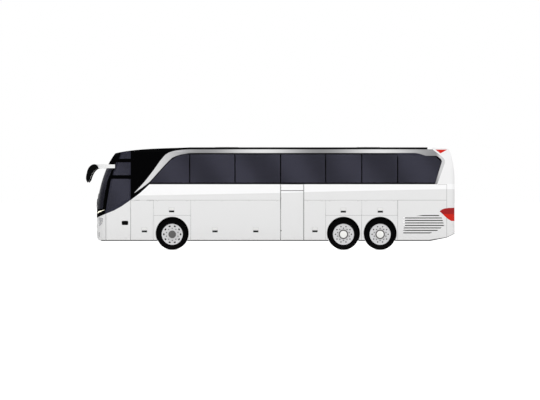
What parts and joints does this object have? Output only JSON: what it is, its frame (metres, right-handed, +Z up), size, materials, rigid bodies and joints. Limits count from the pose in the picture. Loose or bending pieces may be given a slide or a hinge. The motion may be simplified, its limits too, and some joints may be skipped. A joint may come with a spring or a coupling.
{
  "type": "coach bus",
  "caption": "High-deck touring coach on three axles with glazed sides, entrance doors, luggage flaps, steered front wheels and a rear engine.",
  "frame": {"origin": "on the ground, midway between the mirror tips and the tail, on the centre plane", "axes": "+Z up, the front points to -X, the kerb side with its doors is at -Y"},
  "size_m": [13.4939, 2.84, 3.755],
  "materials": {
    "white_paint": "gloss",
    "silver_paint": "satin",
    "tinted_glass": "gloss",
    "clear_lamp": "gloss",
    "red_lamp": "gloss",
    "tyre_rubber": "matte",
    "wheel_alloy": "satin",
    "seat_fabric": "woven",
    "dark_plastic": "matte",
    "chassis_paint": "satin",
    "cast_engine": "rough cast"
  },
  "bodies": {
    "body": {"cabin_floor": "dark_plastic", "dashboard": "dark_plastic", "door_post": "chassis_paint", "drive_axle": "chassis_paint", "driver_seat": "seat_fabric", "engine_block": "cast_engine", "front_axle": "chassis_paint", "front_panel": "white_paint", "head_lamps": "clear_lamp", "mirror_arms": "white_paint", "mirror_heads": "dark_plastic", "passenger_seats": "seat_fabric", "rear_panel": "white_paint", "rear_window": "tinted_glass", "roof_panel": "white_paint", "side_grilles": "silver_paint", "side_panel_left": "white_paint", "side_panel_right": "white_paint", "side_windows_left": "tinted_glass", "side_windows_right": "tinted_glass", "stairwells": "dark_plastic", "steering_wheel": "dark_plastic", "tag_axle": "chassis_paint", "tail_lamps": "red_lamp", "underframe": "chassis_paint", "windscreen": "tinted_glass"},
    "knuckle_left": {"knuckle_left": "chassis_paint"},
    "knuckle_right": {"knuckle_right": "chassis_paint"},
    "front_door_arm": {"front_door_arm": "chassis_paint"},
    "front_door": {"front_door": "white_paint", "front_door_glass": "tinted_glass"},
    "mid_door": {"mid_door": "white_paint"},
    "engine_lid": {"engine_lid": "white_paint"},
    "front_wheel_left": {"front_wheel_left": "wheel_alloy", "front_tyre_left": "tyre_rubber"},
    "front_wheel_right": {"front_wheel_right": "wheel_alloy", "front_tyre_right": "tyre_rubber"},
    "drive_wheel_left": {"drive_wheel_left": "wheel_alloy", "drive_tyre_left": "tyre_rubber"},
    "drive_wheel_right": {"drive_wheel_right": "wheel_alloy", "drive_tyre_right": "tyre_rubber"},
    "tag_wheel_left": {"tag_wheel_left": "wheel_alloy", "tag_tyre_left": "tyre_rubber"},
    "tag_wheel_right": {"tag_wheel_right": "wheel_alloy", "tag_tyre_right": "tyre_rubber"},
    "front_flap_left": {"front_flap_left": "white_paint"},
    "front_flap_right": {"front_flap_right": "white_paint"},
    "front_wheel_flap_left": {"front_wheel_flap_left": "white_paint"},
    "front_wheel_flap_right": {"front_wheel_flap_right": "white_paint"},
    "luggage_flap_left": {"luggage_flap_left": "white_paint"},
    "luggage_flap_right": {"luggage_flap_right": "white_paint"},
    "centre_flap_right": {"centre_flap_right": "white_paint"},
    "service_flap_left": {"service_flap_left": "white_paint"},
    "service_flap_right": {"service_flap_right": "white_paint"},
    "drive_wheel_flap_left": {"drive_wheel_flap_left": "white_paint"},
    "drive_wheel_flap_right": {"drive_wheel_flap_right": "white_paint"},
    "tag_wheel_flap_left": {"tag_wheel_flap_left": "white_paint"},
    "tag_wheel_flap_right": {"tag_wheel_flap_right": "white_paint"}
  },
  "joints": [
    {"name": "steer_left", "type": "hinge", "parent": "body", "child": "knuckle_left", "pos_m": [-3.594, -1.095, 0.569], "axis": [0, 0, 1], "range_deg": [-42, 42]},
    {"name": "front_wheel_left_spin", "type": "hinge", "parent": "knuckle_left", "child": "front_wheel_left", "pos_m": [-3.594, -1.095, 0.569], "axis": [0, 1, 0], "continuous": true},
    {"name": "drive_wheel_left_spin", "type": "hinge", "parent": "body", "child": "drive_wheel_left", "pos_m": [2.674, -1.095, 0.569], "axis": [0, 1, 0], "continuous": true},
    {"name": "tag_wheel_left_spin", "type": "hinge", "parent": "body", "child": "tag_wheel_left", "pos_m": [4.017, -1.095, 0.569], "axis": [0, 1, 0], "continuous": true},
    {"name": "steer_right", "type": "hinge", "parent": "body", "child": "knuckle_right", "pos_m": [-3.594, 1.095, 0.569], "axis": [0, 0, 1], "range_deg": [-42, 42]},
    {"name": "front_wheel_right_spin", "type": "hinge", "parent": "knuckle_right", "child": "front_wheel_right", "pos_m": [-3.594, 1.095, 0.569], "axis": [0, 1, 0], "continuous": true},
    {"name": "drive_wheel_right_spin", "type": "hinge", "parent": "body", "child": "drive_wheel_right", "pos_m": [2.674, 1.095, 0.569], "axis": [0, 1, 0], "continuous": true},
    {"name": "tag_wheel_right_spin", "type": "hinge", "parent": "body", "child": "tag_wheel_right", "pos_m": [4.017, 1.095, 0.569], "axis": [0, 1, 0], "continuous": true},
    {"name": "front_door_swing", "type": "hinge", "parent": "body", "child": "front_door_arm", "pos_m": [-5.95, -1.165, 1], "axis": [0, 0, -1], "range_deg": [0, 140]},
    {"name": "front_door_level", "type": "hinge", "parent": "front_door_arm", "child": "front_door", "pos_m": [-5.5, -1.165, 1], "axis": [0, 0, 1], "range_deg": [0, 140]},
    {"name": "mid_door_hinge", "type": "hinge", "parent": "body", "child": "mid_door", "pos_m": [0.388, -1.263, 1.36], "axis": [0, 0, -1], "range_deg": [0, 90]},
    {"name": "engine_lid_hinge", "type": "hinge", "parent": "body", "child": "engine_lid", "pos_m": [6.733, 0, 1.735], "axis": [0, -1, 0], "range_deg": [0, 80]},
    {"name": "front_flap_left_hinge", "type": "hinge", "parent": "body", "child": "front_flap_left", "pos_m": [-4.696, -1.263, 1.804], "axis": [-1, 0, 0], "range_deg": [0, 90]},
    {"name": "front_flap_right_hinge", "type": "hinge", "parent": "body", "child": "front_flap_right", "pos_m": [-4.696, 1.263, 1.804], "axis": [1, 0, 0], "range_deg": [0, 90]},
    {"name": "front_wheel_flap_left_hinge", "type": "hinge", "parent": "body", "child": "front_wheel_flap_left", "pos_m": [-3.598, -1.263, 1.804], "axis": [-1, 0, 0], "range_deg": [0, 90]},
    {"name": "front_wheel_flap_right_hinge", "type": "hinge", "parent": "body", "child": "front_wheel_flap_right", "pos_m": [-3.598, 1.263, 1.804], "axis": [1, 0, 0], "range_deg": [0, 90]},
    {"name": "luggage_flap_left_hinge", "type": "hinge", "parent": "body", "child": "luggage_flap_left", "pos_m": [-1.272, -1.263, 1.804], "axis": [-1, 0, 0], "range_deg": [0, 90]},
    {"name": "luggage_flap_right_hinge", "type": "hinge", "parent": "body", "child": "luggage_flap_right", "pos_m": [-1.272, 1.263, 1.804], "axis": [1, 0, 0], "range_deg": [0, 90]},
    {"name": "centre_flap_right_hinge", "type": "hinge", "parent": "body", "child": "centre_flap_right", "pos_m": [0.796, 1.263, 1.804], "axis": [1, 0, 0], "range_deg": [0, 90]},
    {"name": "service_flap_left_hinge", "type": "hinge", "parent": "body", "child": "service_flap_left", "pos_m": [1.6215, -1.263, 1.804], "axis": [-1, 0, 0], "range_deg": [0, 90]},
    {"name": "service_flap_right_hinge", "type": "hinge", "parent": "body", "child": "service_flap_right", "pos_m": [1.6215, 1.263, 1.804], "axis": [1, 0, 0], "range_deg": [0, 90]},
    {"name": "drive_wheel_flap_left_hinge", "type": "hinge", "parent": "body", "child": "drive_wheel_flap_left", "pos_m": [2.68475, -1.263, 1.804], "axis": [-1, 0, 0], "range_deg": [0, 90]},
    {"name": "drive_wheel_flap_right_hinge", "type": "hinge", "parent": "body", "child": "drive_wheel_flap_right", "pos_m": [2.68475, 1.263, 1.804], "axis": [1, 0, 0], "range_deg": [0, 90]},
    {"name": "tag_wheel_flap_left_hinge", "type": "hinge", "parent": "body", "child": "tag_wheel_flap_left", "pos_m": [4.00225, -1.263, 1.804], "axis": [-1, 0, 0], "range_deg": [0, 90]},
    {"name": "tag_wheel_flap_right_hinge", "type": "hinge", "parent": "body", "child": "tag_wheel_flap_right", "pos_m": [4.00225, 1.263, 1.804], "axis": [1, 0, 0], "range_deg": [0, 90]}
  ],
  "couplings": [
    {"joint": "steer_right", "follows": "steer_left", "ratio": 1},
    {"joint": "front_door_level", "follows": "front_door_swing", "ratio": 1}
  ]
}
